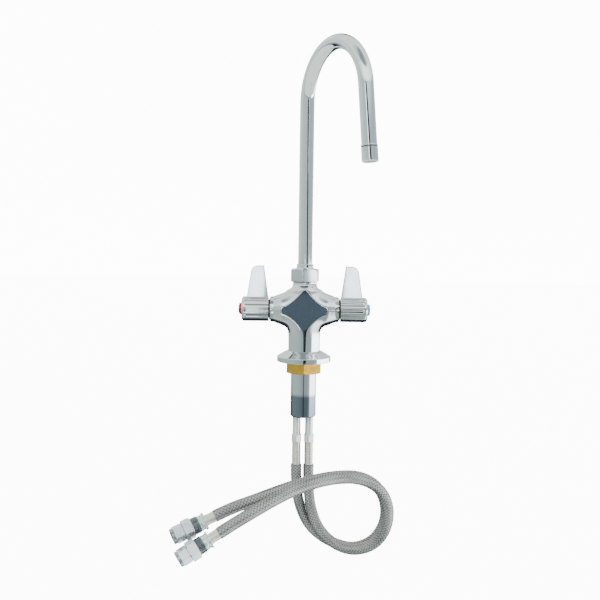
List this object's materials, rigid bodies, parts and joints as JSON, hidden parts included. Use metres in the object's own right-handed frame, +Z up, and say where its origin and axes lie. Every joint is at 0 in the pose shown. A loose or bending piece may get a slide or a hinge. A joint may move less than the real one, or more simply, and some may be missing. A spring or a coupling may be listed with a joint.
{
  "type": "gooseneck faucet",
  "caption": "Deck tap with a tall swivelling gooseneck spout, lever handles on a cross-shaped body, a threaded shank with a brass lock nut, and braided inlet hoses.",
  "frame": {"origin": "centre of the deck flange's underside, where the deck's hole is", "axes": "+Z up along the riser, +X from the hot handle to the cold handle, -Y to the front where the user stands"},
  "size_m": [0.2277, 0.2138, 0.5619],
  "materials": {
    "polished_chrome": "mirror polished",
    "plated_shank": "plated thread",
    "raw_brass": "machined, dull",
    "machined_brass": "machined",
    "black_rubber": "matt",
    "white_acetal": "moulded",
    "ceramic": "lapped",
    "stainless_steel": "machined",
    "plated_tube": "satin plated",
    "nickel_brass": "nickel plated",
    "crimped_steel": "crimped",
    "braided_steel": "fine braid",
    "hot_index": "gloss",
    "cold_index": "gloss"
  },
  "bodies": {
    "tap_body": {"mixing_body": "polished_chrome", "deck_flange": "polished_chrome", "flange_gasket": "black_rubber", "mounting_shank": "plated_shank", "swivel_nut": "polished_chrome", "swivel_washer": "white_acetal", "hot_cartridge_body": "machined_brass", "hot_seat_seal": "black_rubber", "hot_fixed_disc": "ceramic", "hot_bonnet_oring": "black_rubber", "hot_stem_oring": "black_rubber", "hot_supply_tube": "plated_tube", "hot_hose_top_nut": "nickel_brass", "hot_top_ferrule": "crimped_steel", "hot_hose": "braided_steel", "hot_end_ferrule": "crimped_steel", "hot_end_collar": "nickel_brass", "hot_inlet_adapter": "nickel_brass", "hot_union_washer": "black_rubber", "cold_cartridge_body": "machined_brass", "cold_seat_seal": "black_rubber", "cold_fixed_disc": "ceramic", "cold_bonnet_oring": "black_rubber", "cold_stem_oring": "black_rubber", "cold_supply_tube": "plated_tube", "cold_hose_top_nut": "nickel_brass", "cold_top_ferrule": "crimped_steel", "cold_hose": "braided_steel", "cold_end_ferrule": "crimped_steel", "cold_end_collar": "nickel_brass", "cold_inlet_adapter": "nickel_brass", "cold_union_washer": "black_rubber"},
    "spout": {"gooseneck_tube": "polished_chrome", "spout_foot": "machined_brass", "spout_orings": "black_rubber", "aerator_shell": "polished_chrome", "aerator_gasket": "black_rubber", "aerator_insert": "white_acetal"},
    "hot_lever": {"hot_handle": "polished_chrome", "hot_index_button": "hot_index", "hot_handle_screw": "stainless_steel", "hot_stem": "machined_brass", "hot_moving_disc": "ceramic"},
    "cold_lever": {"cold_handle": "polished_chrome", "cold_index_button": "cold_index", "cold_handle_screw": "stainless_steel", "cold_stem": "machined_brass", "cold_moving_disc": "ceramic"},
    "lock_nut": {"lock_nut": "raw_brass"},
    "hot_union": {"hot_union_nut": "nickel_brass"},
    "cold_union": {"cold_union_nut": "nickel_brass"}
  },
  "joints": [
    {"name": "spout_swivel", "type": "hinge", "parent": "tap_body", "child": "spout", "pos_m": [0, 0, 0.0895], "axis": [0, 0, 1], "continuous": true},
    {"name": "hot_lever_turn", "type": "hinge", "parent": "tap_body", "child": "hot_lever", "pos_m": [-0.05, 0, 0.058], "axis": [1, 0, 0], "range_deg": [0, 90]},
    {"name": "cold_lever_turn", "type": "hinge", "parent": "tap_body", "child": "cold_lever", "pos_m": [0.05, 0, 0.058], "axis": [1, 0, 0], "range_deg": [0, 90]},
    {"name": "lock_nut_travel", "type": "slide", "parent": "tap_body", "child": "lock_nut", "axis": [0, 0, -1], "range_m": [0, 0.044]},
    {"name": "hot_union_turn", "type": "hinge", "parent": "tap_body", "child": "hot_union", "pos_m": [-0.12022, -0.16004, -0.14593], "axis": [-0.873, -0.3336, -0.3559], "continuous": true},
    {"name": "cold_union_turn", "type": "hinge", "parent": "tap_body", "child": "cold_union", "pos_m": [-0.11293, -0.1747, -0.16249], "axis": [-0.8232, -0.3226, -0.4672], "continuous": true}
  ]
}
